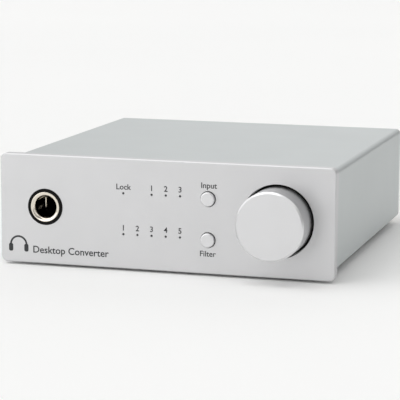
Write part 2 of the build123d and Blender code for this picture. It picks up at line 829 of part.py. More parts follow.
usb_lane = socket_x["usb"]
centre_lane = (socket_x["optic"] + socket_x["coax"]) / 2
output_lane = (socket_x["right_out"] + socket_x["left_out"]) / 2
on_board("usb_receiver_chip", [(usb_lane, receiver_depth)], *receiver_size)
on_board("converter_chip", [(centre_lane, converter_depth)], *converter_size)
on_board("amplifier_chips", [(lane, amplifier_depth) for lane in (usb_lane, centre_lane)], *amplifier_size)
clock_places = [(centre_lane + side * oscillator_side, oscillator_depth) for side in (-1, 1)]
on_board("clock_oscillators", clock_places, *oscillator_size)
on_board("mute_relay", [(output_lane, relay_depth)], *relay_size)
film_places = [(output_lane + side * film_size[0], depth) for side in (-1, 1) for depth in film_depths]
on_board("coupling_capacitors", film_places, *film_size)

with BuildPart() as supply_capacitors:
    with BuildSketch(level(board_top)):
        with Locations([(socket_x["dc"], board_middle + along) for along in inlet_capacitor_depths]):
            Circle(capacitor_radius)
        receiver_capacitors_at = board_middle + receiver_capacitor_depth
        with Locations([(usb_lane + side, receiver_capacitors_at) for side in receiver_capacitor_sides]):
            Circle(capacitor_radius)
    extrude(amount=capacitor_high)
save(supply_capacitors, "supply_capacitors")

# ---------------------------------------------------------------- coaxial input and line outputs
for name in ("coax", "left_out", "right_out"):
    x = socket_x[name]
    with BuildPart() as body:
        with BuildSketch(facing(wall_inner - rca_body_deep)):
            with Locations((x, board_top)):
                Rectangle(
                    2 * rca_body_half,
                    rca_z + rca_body_half - board_top,
                    align=(Align.CENTER, Align.MIN),
                )
        extrude(amount=-rca_body_deep)
        with BuildSketch(facing(wall_inner)):
            with Locations((x, rca_z)):
                Circle(rca_root_radius + rca_nose_gap)
        extrude(amount=rca_root, mode=Mode.SUBTRACT)
        with BuildSketch(facing(wall_inner - rca_root)):
            with Locations((x, rca_z)):
                Circle(rca_bore - rca_nose_gap)
        extrude(amount=-(rca_root + tray_thick + rca_reach - rca_nose_recess))
        with BuildSketch(facing(sockets_end - rca_nose_recess)):
            with Locations((x, rca_z)):
                Circle(rca_centre_radius + rca_nose_gap)
        extrude(amount=rca_centre_deep, mode=Mode.SUBTRACT)
    save(body, f"{name}_body")

    with BuildPart() as shell:
        with BuildSketch(facing(wall_inner - rca_root)):
            with Locations((x, rca_z)):
                Circle(rca_root_radius)
        extrude(amount=-rca_root)
        with BuildSketch(facing(wall_inner)):
            with Locations((x, rca_z)):
                Circle(rca_collar_radius)
        extrude(amount=-tray_thick)
        with BuildSketch(facing(wall_outer)):
            with Locations((x, rca_z)):
                Circle(rca_radius)
        extrude(amount=-rca_reach)
        chamfer(shell.faces().sort_by(Axis.Y)[-1].edges(), rca_chamfer)
        with BuildSketch(facing(wall_inner - rca_root)):
            with Locations((x, rca_z)):
                Circle(rca_bore)
        extrude(amount=-(rca_root + tray_thick + rca_reach), mode=Mode.SUBTRACT)
    save(shell, f"{name}_shell")

    with BuildPart() as centre:
        with BuildSketch(facing(sockets_end - rca_nose_recess - rca_centre_deep)):
            with Locations((x, rca_z)):
                Circle(rca_centre_radius)
                Circle(rca_centre_bore, mode=Mode.SUBTRACT)
        extrude(amount=-rca_centre_deep)
    save(centre, f"{name}_centre")

# ---------------------------------------------------------------- USB socket
usb_face = wall_outer + usb_proud
usb_x = socket_x["usb"]
usb_mouth = (usb_mouth_width, usb_mouth_high)


def mouth_profile():
    """The type B opening: square below, with both upper corners cut off."""
    with BuildSketch(mode=Mode.PRIVATE) as opening:
        Rectangle(*usb_mouth)
        chamfer(opening.vertices().group_by(Axis.Y)[-1], usb_mouth_chamfer)
    return opening.sketch


usb_opening = mouth_profile()

with BuildPart() as usb_shell:
    with BuildSketch(facing(usb_face - usb_deep)):
        with Locations((usb_x, usb_z)):
            RectangleRounded(usb_width, usb_high, usb_wall)
    extrude(amount=-usb_deep)
    with BuildSketch(facing(usb_face - usb_deep)):
        with Locations((usb_x, usb_z)):
            Rectangle(usb_width - 2 * usb_wall, usb_high - 2 * usb_wall)
    extrude(amount=-(usb_deep - usb_wall), mode=Mode.SUBTRACT)
    with BuildSketch(facing(usb_face - usb_wall)):
        with Locations((usb_x, usb_z)):
            add(usb_opening)
    extrude(amount=-usb_wall, mode=Mode.SUBTRACT)
save(usb_shell, "usb_shell")

with BuildPart() as usb_insulator:
    with BuildSketch(facing(usb_face - usb_deep)):
        with Locations((usb_x, usb_z)):
            Rectangle(usb_width - 2 * usb_wall, usb_high - 2 * usb_wall)
    extrude(amount=-(usb_deep - usb_wall))
    with BuildSketch(facing(usb_face - usb_cavity)):
        with Locations((usb_x, usb_z)):
            add(usb_opening)
    extrude(amount=-(usb_cavity - usb_wall), mode=Mode.SUBTRACT)
    with BuildSketch(facing(usb_face - usb_cavity)):
        with Locations((usb_x, usb_z)):
            Rectangle(usb_tongue_width, usb_tongue_high)
    extrude(amount=-usb_tongue_length)
save(usb_insulator, "usb_insulator")

# ---------------------------------------------------------------- optical input
optic_x = socket_x["optic"]
with BuildPart() as optical_body:
    with BuildSketch(facing(optic_face - optic_deep)):
        with Locations((optic_x, board_top)):
            Rectangle(optic_width, optic_high, align=(Align.CENTER, Align.MIN))
    extrude(amount=-optic_deep)
    # square mouth in the front frame
    with BuildSketch(facing(optic_face - optic_frame)):
        with Locations((optic_x, optic_z)):
            Rectangle(optic_mouth, optic_mouth)
    extrude(amount=-optic_frame, mode=Mode.SUBTRACT)
    # cavity, with a pocket above for the open shutter
    with BuildSketch(facing(optic_face - optic_cavity)):
        with Locations((optic_x, optic_z - optic_mouth / 2)):
            Rectangle(optic_mouth, optic_mouth + optic_pocket, align=(Align.CENTER, Align.MIN))
    extrude(amount=-(optic_cavity - optic_frame), mode=Mode.SUBTRACT)
    with BuildSketch(facing(optic_face - optic_cavity)):
        with Locations((optic_x, optic_z)):
            Circle(optic_fibre_radius)
    extrude(amount=optic_fibre_deep, mode=Mode.SUBTRACT)
    # bearings for the shutter's pins
    with BuildSketch(Plane.YZ.offset(optic_x)):
        with Locations((front_face + hinge_depth, hinge_z)):
            Circle(shutter_pin_radius + shutter_pin_gap)
    extrude(
        amount=optic_mouth / 2 + shutter_pin_length + shutter_pin_gap,
        both=True,
        mode=Mode.SUBTRACT,
    )
save(optical_body, "optical_body")

shutter_half = optic_mouth / 2 - shutter_gap
with BuildPart() as optical_shutter:
    with BuildSketch(Plane.YZ.offset(optic_x)):
        with Locations((front_face + hinge_depth, hinge_z)):
            Circle(shutter_thick / 2)
            Rectangle(
                shutter_thick,
                hinge_z - (optic_z - optic_mouth / 2) - shutter_gap,
                align=(Align.CENTER, Align.MAX),
            )
    extrude(amount=shutter_half, both=True)
    with BuildSketch(Plane.YZ.offset(optic_x)):
        with Locations((front_face + hinge_depth, hinge_z)):
            Circle(shutter_pin_radius)
    extrude(amount=optic_mouth / 2 + shutter_pin_length, both=True)
save(optical_shutter, "optical_shutter")

# ---------------------------------------------------------------- power inlet
dc_x = socket_x["dc"]
dc_mouth = wall_outer
with BuildPart() as dc_socket_body:
    with BuildSketch(facing(wall_inner - dc_deep)):
        with Locations((dc_x, board_top)):
            Rectangle(dc_width, dc_high, align=(Align.CENTER, Align.MIN))
    extrude(amount=-dc_deep)
    with BuildSketch(facing(wall_inner)):
        with Locations((dc_x, dc_z)):
            Circle(dc_nose_radius)
    extrude(amount=-tray_thick)
    with BuildSketch(facing(dc_mouth)):
        with Locations((dc_x, dc_z)):
            Circle(dc_bore_radius)
    extrude(amount=dc_bore_deep, mode=Mode.SUBTRACT)
    with BuildSketch(facing(dc_mouth - dc_bore_deep)):
        with Locations((dc_x, dc_z)):
            Circle(dc_pin_radius + thread_gap)
    extrude(amount=dc_pin_root, mode=Mode.SUBTRACT)
    # slot below the bore for the contact spring
    with BuildSketch(facing(dc_mouth - dc_bore_deep)):
        with Locations((dc_x, dc_z)):
            Rectangle(dc_slot_width, dc_slot_reach, align=(Align.CENTER, Align.MAX))
    extrude(amount=-(dc_bore_deep - dc_slot_recess), mode=Mode.SUBTRACT)
save(dc_socket_body, "dc_socket_body")

with BuildPart() as dc_socket_pin:
    with BuildSketch(facing(dc_mouth - dc_bore_deep - dc_pin_root)):
        with Locations((dc_x, dc_z)):
            Circle(dc_pin_radius)
    extrude(amount=-(dc_bore_deep + dc_pin_root - dc_pin_recess))
    fillet(dc_socket_pin.faces().sort_by(Axis.Y)[-1].edges(), dc_pin_radius / 2)
save(dc_socket_pin, "dc_socket_pin")

with BuildPart() as dc_socket_spring:
    spring_low = dc_z - dc_slot_reach + dc_spring_thick / 2
    spring_high = dc_z - dc_bore_radius + dc_spring_bulge
    spring_front = front_face + dc_mouth - dc_bore_deep + dc_spring_thick
    spring_rear = front_face + dc_mouth - dc_slot_recess - dc_spring_thick
    with BuildSketch(Plane.YZ.offset(dc_x)):
        with BuildLine():
            FilletPolyline(
                (spring_front, spring_low),
                (spring_front + dc_spring_foot, spring_low),
                ((spring_front + spring_rear) / 2, spring_high),
                (spring_rear, spring_low + 2 * dc_spring_thick),
                radius=dc_spring_bend,
            )
        trace(line_width=dc_spring_thick)
    extrude(amount=dc_spring_width / 2, both=True)
save(dc_socket_spring, "dc_socket_spring")
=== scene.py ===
"""Desktop converter: finishes for every part, printed marks, small board parts and a plain studio.

Everything is in metres in the row's frame: X to the right seen from the front, Y to the rear, Z up.
"""

import math

import bmesh
import bpy
from mathutils import Matrix, Vector


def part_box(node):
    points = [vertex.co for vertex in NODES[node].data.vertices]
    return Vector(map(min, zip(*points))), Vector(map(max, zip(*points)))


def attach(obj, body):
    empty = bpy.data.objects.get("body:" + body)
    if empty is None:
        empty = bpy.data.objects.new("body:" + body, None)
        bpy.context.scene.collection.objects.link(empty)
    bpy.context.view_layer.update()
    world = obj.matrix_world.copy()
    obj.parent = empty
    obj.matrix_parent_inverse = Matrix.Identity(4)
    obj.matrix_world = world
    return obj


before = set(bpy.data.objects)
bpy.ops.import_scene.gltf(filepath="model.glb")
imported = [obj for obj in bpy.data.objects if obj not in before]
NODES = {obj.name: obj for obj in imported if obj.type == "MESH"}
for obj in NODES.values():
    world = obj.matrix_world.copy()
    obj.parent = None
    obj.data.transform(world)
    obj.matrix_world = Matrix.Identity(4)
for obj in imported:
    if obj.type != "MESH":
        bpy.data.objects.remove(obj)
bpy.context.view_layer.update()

bl_info = {
    "name": "Desktop converter",
    "version": (1, 0, 0),
    "blender": (4, 5, 0),
    "location": "3D View > Sidebar > Converter",
    "description": "Finishes, printed marks, board parts and studio for a desktop audio converter",
    "category": "Object",
}

MM = 0.001
WHOLE_TURN = 2 * math.pi
WAVE_RADIANS = 20  # a wave texture of scale 1 advances this far over one unit of length
MIX_FIRST, MIX_SECOND, MIXED = 6, 7, 2  # the colour sockets of a Mix node


def linear(code):
    """An sRGB hex colour as linear red, green, blue and alpha."""
    parts = [int(code[i : i + 2], 16) / 255 for i in (0, 2, 4)]
    return tuple(c / 12.92 if c <= 0.04045 else ((c + 0.055) / 1.055) ** 2.4 for c in parts) + (1.0,)


# ---------------------------------------------------------------- settings that a user would change
def colour_setting(name, code, description):
    return bpy.props.FloatVectorProperty(
        name=name, description=description, default=linear(code)[:3], size=3, min=0, max=1, subtype="COLOR"
    )


def length_setting(name, millimetres, description):
    return bpy.props.FloatProperty(
        name=name, description=description, default=millimetres * MM, min=0, unit="LENGTH", precision=5
    )


class ConverterFinish(bpy.types.PropertyGroup):
    """Colours of the main surfaces and the size of their grain."""

    plate: colour_setting("Plate", "cfcfd0", "Anodised aluminium of the front plate")
    case: colour_setting("Case", "c9cdcd", "Anodised sheet of the cover")
    tray: colour_setting("Tray", "c3c5c4", "Anodised sheet of the tray and rear wall")
    knob: colour_setting("Knob", "d6d6d7", "Anodised aluminium of the knob and the buttons")
    ink: colour_setting("Ink", "2e2f31", "Printed words, numbers and symbol")
    moulding: colour_setting("Black moulding", "141415", "Collar, socket bodies and switches")
    nickel: colour_setting("Nickel", "e6dfd2", "Ferrule and other plated parts")
    gold: colour_setting("Gold", "e3bd73", "Phono sockets and contacts")
    left: colour_setting("Left output", "e9e8e2", "Insulator of the left output")
    right: colour_setting("Right output", "b3161a", "Insulator of the right output")
    board: colour_setting("Board", "0f4a2b", "Solder mask of both boards")
    blast_grit: length_setting("Blast grit", 0.35, "Size of the dimples that blasting leaves")


class ConverterPrint(bpy.types.PropertyGroup):
    """Words on the plate and the size of the letters."""

    title: bpy.props.StringProperty(
        name="Title", description="Words at the lower left", default="Desktop Converter"
    )
    title_height: length_setting("Title height", 2.05, "Height of the title's capitals")
    mark_height: length_setting("Mark height", 1.6, "Height of the numbers and other capitals")
    ink_depth: length_setting("Ink thickness", 0.02, "How far the ink stands off the metal")
    stroke: bpy.props.FloatProperty(
        name="Stroke", description="How much each letter's strokes are thickened", default=0.012, min=0
    )
    symbol_width: length_setting("Symbol width", 5.6, "Width of the headphone symbol")


class ConverterStudio(bpy.types.PropertyGroup):
    """The camera's place, the lights and the floor."""

    azimuth: bpy.props.FloatProperty(
        name="Azimuth",
        description="Camera's turn to the right",
        default=math.radians(16.534),
        subtype="ANGLE",
    )
    elevation: bpy.props.FloatProperty(
        name="Elevation",
        description="Camera's height angle",
        default=math.radians(9.384),
        subtype="ANGLE",
    )
    roll: bpy.props.FloatProperty(
        name="Roll",
        description="Camera's tilt about its own axis",
        default=math.radians(0.271),
        subtype="ANGLE",
    )
    distance: bpy.props.FloatProperty(
        name="Distance", description="Camera to the point it looks at", default=0.5881, unit="LENGTH"
    )
    lens: bpy.props.FloatProperty(name="Lens", description="Focal length in millimetres", default=168.58)
    brightness: bpy.props.FloatProperty(
        name="Brightness", description="Factor on every lamp and on the room", default=1.02, min=0
    )
    softness: bpy.props.FloatProperty(
        name="Softness",
        description="Width of each soft light as seen from the object",
        default=math.radians(50),
        subtype="ANGLE",
    )
    room: bpy.props.FloatProperty(
        name="Room", description="Brightness of the room's walls", default=0.35, min=0
    )
    left_wall: bpy.props.FloatProperty(
        name="Left wall", description="How much brighter the room is on the left", default=0.3, min=0
    )
    floor: colour_setting("Floor", "fdfdfc", "Plain pale table")


# ---------------------------------------------------------------- materials
def add(tree, kind, inputs=None, **settings):
    """Adds one node: its settings by name, and its inputs by socket as a value or another node's output."""
    new = tree.nodes.new(kind)
    for key, value in settings.items():
        setattr(new, key, value)
    for key, value in (inputs or {}).items():
        if isinstance(value, bpy.types.NodeSocket):
            tree.links.new(value, new.inputs[key])
        else:
            new.inputs[key].default_value = value
    return new


def begin(name, colour, roughness, metallic=0.0, **sockets):
    """A new material with one shader. Returns it, its tree, the shader and the place on the piece."""
    material = bpy.data.materials.new(name)
    material.use_nodes = True
    material.diffuse_color = (*colour[:3], 1)
    tree = material.node_tree
    tree.nodes.clear()
    place = add(tree, "ShaderNodeTexCoord").outputs["Object"]
    values = {"Base Color": (*colour[:3], 1), "Roughness": roughness, "Metallic": metallic}
    values.update({key.replace("_", " "): value for key, value in sockets.items()})
    shader = add(tree, "ShaderNodeBsdfPrincipled", values)
    add(tree, "ShaderNodeOutputMaterial", {"Surface": shader.outputs["BSDF"]})
    return material, tree, shader, place


def tinted(colour, factor):
    """The colour made lighter or darker by a factor."""
    return (*(min(1.0, c * factor) for c in colour[:3]), 1)


def mottle(tree, shader, place, colour, size, spread=0.04, detail=2.0):
    """Lets the colour drift a little either way over patches of about this size. Returns the ramp."""
    noise = add(tree, "ShaderNodeTexNoise", {"Vector": place, "Scale": 1 / size, "Detail": detail})
    ramp = add(tree, "ShaderNodeValToRGB", {"Fac": noise.outputs["Fac"]})
    ramp.color_ramp.elements[0].position = 0.3
    ramp.color_ramp.elements[0].color = tinted(colour, 1 - spread)
    ramp.color_ramp.elements[1].position = 0.7
    ramp.color_ramp.elements[1].color = tinted(colour, 1 + spread)
    tree.links.new(ramp.outputs["Color"], shader.inputs["Base Color"])
    return ramp


def dimple(tree, shader, place, size, depth, detail=1.0):
    """Raises and sinks the surface by this depth over grains of this size."""
    noise = add(tree, "ShaderNodeTexNoise", {"Vector": place, "Scale": 1 / size, "Detail": detail})
    relief = add(
        tree,
        "ShaderNodeBump",
        {"Height": noise.outputs["Fac"], "Distance": depth, "Strength": 1.0},
    )
    tree.links.new(relief.outputs["Normal"], shader.inputs["Normal"])


def vary_roughness(tree, shader, place, size, low, high):
    """Moves the roughness between two values, as handling and uneven plating leave it."""
    noise = add(tree, "ShaderNodeTexNoise", {"Vector": place, "Scale": 1 / size, "Detail": 3.0})
    spread = add(
        tree,
        "ShaderNodeMapRange",
        {"Value": noise.outputs["Fac"], "From Min": 0.3, "From Max": 0.7, "To Min": low, "To Max": high},
    )
    tree.links.new(spread.outputs["Result"], shader.inputs["Roughness"])


def cut_rim(tree, shader, tint, colour, roughness, cut_roughness):
    """Makes the small chamfer round a front face smoother, as a diamond tool leaves it, and lighter in colour
    as a painted highlight.
    """
    facing = add(tree, "ShaderNodeTexCoord").outputs["Normal"]
    along = add(tree, "ShaderNodeSeparateXYZ", {"Vector": facing}).outputs["Y"]
    chamfer_slope = -math.sqrt(0.5)  # a face at 45 degrees between the front and the side
    slope_range = 0.2
    mask = add(
        tree,
        "ShaderNodeMath",
        {0: along, 1: chamfer_slope, 2: slope_range},
        operation="COMPARE",
    ).outputs["Value"]
    # painted highlight: the chamfer's colour is lifted by this factor above the knob's own colour
    painted_highlight_brightness = 1.12
    rim_highlight_colour = add(
        tree,
        "ShaderNodeMix",
        {"Factor": mask, MIX_FIRST: tint.outputs["Color"], MIX_SECOND: tinted(colour, painted_highlight_brightness)},
        data_type="RGBA",
    )
    tree.links.new(rim_highlight_colour.outputs[MIXED], shader.inputs["Base Color"])
    smooth = add(tree, "ShaderNodeMapRange", {"Value": mask, "To Min": roughness, "To Max": cut_roughness})
    tree.links.new(smooth.outputs["Result"], shader.inputs["Roughness"])


def blasted_plate():
    """Anodised aluminium, bead blasted: an even pale satin with no direction to it."""
    finish = bpy.context.scene.converter_finish
    colour = finish.plate
    material, tree, shader, place = begin("blasted_anodised_aluminium_plate", colour, 0.46, 1.0)
    mottle(tree, shader, place, colour, 12 * MM, 0.012)
    # the true dimples are under 0.1 mm, so they are drawn a few times coarser to show at all
    dimple(tree, shader, place, finish.blast_grit, 0.0018 * MM)
    return material


def anodised_sheet(name, colour):
    """Anodised aluminium sheet, fine-sanded before it was folded: a flatter, cooler satin than the plate."""
    material, tree, shader, place = begin(name, colour, 0.5, 1.0)
    mottle(tree, shader, place, colour, 18 * MM, 0.012)
    # sanding scratches run front to back, a tenth of a millimetre apart, drawn three times as wide
    lengthways = add(
        tree, "ShaderNodeMapping", {"Vector": place, "Scale": (1.0, 0.04, 1.0)}
    ).outputs["Vector"]
    dimple(tree, shader, lengthways, 0.3 * MM, 0.0012 * MM)
    return material


def turned_aluminium(name, centre):
    """Turned aluminium, lightly blasted and anodised: faint rings on the face and a smooth cut rim painted
    lighter as a highlight.
    """
    finish = bpy.context.scene.converter_finish
    colour = finish.knob
    material, tree, shader, place = begin(name, colour, 0.4, 1.0)
    tint = mottle(tree, shader, place, colour, 8 * MM, 0.01)
    centred = add(
        tree, "ShaderNodeMapping", {"Vector": place, "Location": (-centre.x, 0, -centre.z)}
    ).outputs["Vector"]
    # the tool's feed is about 0.1 mm a turn, drawn as 0.4 mm rings
    rings = add(
        tree,
        "ShaderNodeTexWave",
        {
            "Vector": centred,
            "Scale": WHOLE_TURN / WAVE_RADIANS / (0.4 * MM),
            "Distortion": 0.4,
            "Detail": 1.0,
        },
        wave_type="RINGS",
        rings_direction="Y",
    )
    relief = add(
        tree, "ShaderNodeBump", {"Height": rings.outputs["Fac"], "Distance": 0.0008 * MM, "Strength": 1.0}
    )
    tree.links.new(relief.outputs["Normal"], shader.inputs["Normal"])
    cut_rim(tree, shader, tint, colour, 0.42, 0.3)
    return material


def moulded_plastic(name, colour, roughness, specular=0.5, grain=0.25 * MM, depth=0.004 * MM):
    """Moulded ABS or nylon: an even colour with the mould's fine spark-eroded grain."""
    material, tree, shader, place = begin(name, colour, roughness, IOR=1.5, Specular_IOR_Level=specular)
    mottle(tree, shader, place, colour, 5 * MM, 0.05)
    dimple(tree, shader, place, grain, depth)
    return material


def bright_plate(name, colour, low, high):
    """Plated metal, nickel or gold: a near mirror with slightly uneven smoothness."""
    material, tree, shader, place = begin(name, colour, low, 1.0)
    mottle(tree, shader, place, colour, 3 * MM, 0.03)
    vary_roughness(tree, shader, place, 1.5 * MM, low, high)
    return material


def plain_steel(name, colour, roughness):
    """Zinc-plated, blackened or ground steel: fine tool marks and patches of uneven plating."""
    material, tree, shader, place = begin(name, colour, roughness, 1.0)
    mottle(tree, shader, place, colour, 1.2 * MM, 0.08, 4.0)
    dimple(tree, shader, place, 0.2 * MM, 0.003 * MM, 2.0)
    return material


def soft_rubber():
    """Moulded polyurethane rubber: dull black with a soft sheen and a little dust."""
    colour = linear("1c1c1d")
    material, tree, shader, place = begin("moulded_soft_rubber", colour, 0.75, 0.0, Sheen_Weight=0.2)
    mottle(tree, shader, place, colour, 2 * MM, 0.2, 4.0)
    dimple(tree, shader, place, 0.3 * MM, 0.01 * MM)
    return material


def smoked_guide():
    """Moulded smoked acrylic: nearly black behind the small holes, glossy where it is cut."""
    colour = linear("3a3b3d")
    material, tree, shader, place = begin("moulded_smoked_acrylic", colour, 0.3, 0.0, IOR=1.49)
    mottle(tree, shader, place, colour, 0.8 * MM, 0.1)
    return material


def lamp_resin():
    """Cast epoxy over an indicator's chip: milky yellow, smooth."""
    colour = linear("e8e2bf")
    material, tree, shader, place = begin("cast_lamp_epoxy", colour, 0.3, 0.0, IOR=1.53)
    mottle(tree, shader, place, colour, 0.5 * MM, 0.08)
    return material


def board_laminate():
    """Glass-epoxy laminate under solder mask: deep green, with the copper tracks standing out paler."""
    colour = bpy.context.scene.converter_finish.board
    material, tree, shader, place = begin("masked_glass_epoxy_laminate", colour, 0.35, 0.0, IOR=1.52)
    # tracks are about 0.4 mm wide and turn at right angles, as the edges of irregular blocks do
    tracks = add(
        tree,
        "ShaderNodeTexVoronoi",
        {"Vector": place, "Scale": 1 / (3.2 * MM), "Randomness": 0.85},
        distance="MANHATTAN",
        feature="F2",
    )
    ramp = add(tree, "ShaderNodeValToRGB", {"Fac": tracks.outputs["Distance"]})
    ramp.color_ramp.interpolation = "CONSTANT"
    ramp.color_ramp.elements[0].color = tinted(colour, 1.0)
    ramp.color_ramp.elements[1].position = 0.82
    ramp.color_ramp.elements[1].color = tinted(colour, 1.9)
    tree.links.new(ramp.outputs["Color"], shader.inputs["Base Color"])
    relief = add(
        tree, "ShaderNodeBump", {"Height": ramp.outputs["Color"], "Distance": 0.035 * MM, "Strength": 0.6}
    )
    tree.links.new(relief.outputs["Normal"], shader.inputs["Normal"])
    return material


def capacitor_sleeve(top):
    """Shrunk PVC sleeve on an aluminium can: dark glossy sides, bare metal on the top face."""
    colour = linear("10131f")
    material, tree, shader, place = begin("shrunk_sleeve_on_aluminium_can", colour, 0.28, 0.0, IOR=1.54)
    height = add(tree, "ShaderNodeSeparateXYZ", {"Vector": place}).outputs["Z"]
    sleeve_end = top - 0.05 * MM
    metal = add(
        tree, "ShaderNodeMath", {0: height, 1: sleeve_end}, operation="GREATER_THAN"
    ).outputs["Value"]
    ramp = add(tree, "ShaderNodeValToRGB", {"Fac": metal})
    ramp.color_ramp.interpolation = "CONSTANT"
    ramp.color_ramp.elements[0].color = colour
    ramp.color_ramp.elements[1].position = 0.5
    ramp.color_ramp.elements[1].color = linear("c4c5c6")
    tree.links.new(ramp.outputs["Color"], shader.inputs["Base Color"])
    tree.links.new(metal, shader.inputs["Metallic"])
    dimple(tree, shader, place, 0.6 * MM, 0.01 * MM)
    return material


def printed_ink(name, colour):
    """Screen-printed ink: flat and slightly uneven in density."""
    material, tree, shader, place = begin(name, colour, 0.6, 0.0, IOR=1.5)
    mottle(tree, shader, place, colour, 0.4 * MM, 0.08)
    return material


def pale_table():
    """Matt laminate of the table: nearly white, with a faint drift in tone."""
    colour = bpy.context.scene.converter_studio.floor
    material, tree, shader, place = begin("matt_white_laminate", colour, 0.8)
    mottle(tree, shader, place, colour, 0.4, 0.01)
    return material


# ---------------------------------------------------------------- meshes
def place_piece(name, bm, material, body=None):
    """Turns a bmesh into a finished flat-shaded piece at the origin that rides on a body, if one is named."""
    mesh = bpy.data.meshes.new(name)
    bmesh.ops.recalc_face_normals(bm, faces=bm.faces)
    bm.to_mesh(mesh)
    bm.free()
    mesh.materials.append(material)
    for face in mesh.polygons:
        face.use_smooth = False
    piece = bpy.data.objects.new(name, mesh)
    bpy.context.scene.collection.objects.link(piece)
    if body:
        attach(piece, body)
    return piece


def paint(material, *names):
    """Gives CAD nodes one material."""
    for name in names:
        slots = NODES[name].data.materials
        slots.clear()
        slots.append(material)


def block(bm, centre, size):
    """Adds a box with its edges broken by a share of its smallest side."""
    edge_share = 0.12
    made = bmesh.ops.create_cube(bm, size=1)
    bmesh.ops.scale(bm, vec=size, verts=made["verts"])
    bmesh.ops.translate(bm, vec=centre, verts=made["verts"])
    edges = {edge for vert in made["verts"] for edge in vert.link_edges}
    bmesh.ops.bevel(
        bm,
        geom=list(edges),
        offset=min(size) * edge_share,
        affect="EDGES",
        segments=1,
        profile=0.5,
        material=-1,
    )


def strip(bm, points, width):
    """Adds a flat metal strip that follows points in order. width is a vector across it."""
    thickness_share = 0.3
    thick = width.cross(points[1] - points[0]).normalized() * (width.length * thickness_share)
    corners = []
    for w, t in ((-1, -1), (1, -1), (1, 1), (-1, 1)):
        corners.append(bm.verts.new(points[0] + w * width / 2 + t * thick / 2))
    face = bm.faces.new(corners)
    for before, after in zip(points, points[1:]):
        grown = bmesh.ops.extrude_face_region(bm, geom=[face])["geom"]
        verts = [item for item in grown if isinstance(item, bmesh.types.BMVert)]
        bmesh.ops.translate(bm, vec=after - before, verts=verts)
        face = [item for item in grown if isinstance(item, bmesh.types.BMFace)][0]


def words(text, height, align="CENTER"):
    """Letters as a solid mesh lying flat at the origin, with capitals of this height."""
    print_settings = bpy.context.scene.converter_print
    depth = print_settings.ink_depth
    curve = bpy.data.curves.new("words", "FONT")
    curve.align_x = align
    curve.resolution_u = 3
    lettering = bpy.data.objects.new("words", curve)
    bpy.context.scene.collection.objects.link(lettering)
    curve.body = "H"
    bpy.context.view_layer.update()
    scale = height / lettering.dimensions.y
    curve.body = text
    curve.extrude = depth / scale
    curve.offset = print_settings.stroke
    bpy.context.view_layer.update()
    mesh = bpy.data.meshes.new_from_object(lettering.evaluated_get(bpy.context.evaluated_depsgraph_get()))
    bm = bmesh.new()
    bm.from_mesh(mesh)
    bpy.data.objects.remove(lettering)
    bpy.data.curves.remove(curve)
    bpy.data.meshes.remove(mesh)
    bmesh.ops.scale(bm, vec=(scale, scale, scale), verts=bm.verts)
    bmesh.ops.remove_doubles(bm, verts=bm.verts, dist=0.5 * depth)
    return bm


def upright(bm, at, rear=False):
    """Stands a flat mesh up so that it reads from the front, or from the rear, at a point."""
    turn = Matrix.Rotation(math.pi / 2, 4, "X")
    if rear:
        turn = Matrix.Rotation(math.pi, 4, "Z") @ turn
    bmesh.ops.transform(bm, matrix=Matrix.Translation(at) @ turn, verts=bm.verts)


def join(target, source):
    """Adds one bmesh to another."""
    mesh = bpy.data.meshes.new("joined")
    source.to_mesh(mesh)
    source.free()
    target.from_mesh(mesh)
    bpy.data.meshes.remove(mesh)


# ---------------------------------------------------------------- places taken from the frame
PLATE_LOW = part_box("front_plate")[0]
FACE = PLATE_LOW.y
KNOB_CENTRE = sum(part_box("volume_knob"), Vector()) / 2
INPUT_CENTRE = sum(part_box("input_button"), Vector()) / 2
FILTER_CENTRE = sum(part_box("filter_button"), Vector()) / 2
REAR_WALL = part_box("chassis_tray")[1].y
BOARD_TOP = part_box("main_board")[1].z


def light_columns(node, count):
    """X of the first light in a row and the pitch to the next, and the row's height."""
    low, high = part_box(node)
    lamp_half = high.z - low.z  # a lamp is twice as wide as it is high
    first = low.x + lamp_half
    pitch = (high.x - low.x - 2 * lamp_half) / (count - 1)
    return first, pitch, (low.z + high.z) / 2


# name, degrees to the right of the front, degrees above the table, strength
SOFT_LIGHTS = (
    ("left_light", -80, 28, 0.35),
    ("low_front_light", -35, 14, 0.88),
    ("right_front_light", 45, 25, 0.2),
    ("high_right_light", 85, 60, 0.3),
    ("top_light", -60, 71, 0.8),
    ("back_light", 180, 28, 0.3),
    ("left_back_light", -155, 20, 0.1),
)


# what the camera looks at: this far right of the middle, behind the plate's face and above its lower edge
AIM_RIGHT, AIM_BEHIND, AIM_ABOVE = -0.869 * MM, 40 * MM, 14.978 * MM
TABLE_HALF = 4.0
SENSOR_WIDTH = 36  # millimetres, a full-frame sensor
NEAREST_SEEN = 0.01


def outward(turn, rise):
    """The direction from the object at an angle to the right of the front and an angle above the table."""
    return Vector((math.sin(turn) * math.cos(rise), -math.cos(turn) * math.cos(rise), math.sin(rise)))


def lay_table():
    """A wide flat table under the feet."""
    table = bmesh.new()
    bmesh.ops.create_grid(table, x_segments=1, y_segments=1, size=TABLE_HALF)
    place_piece("table", table, pale_table())


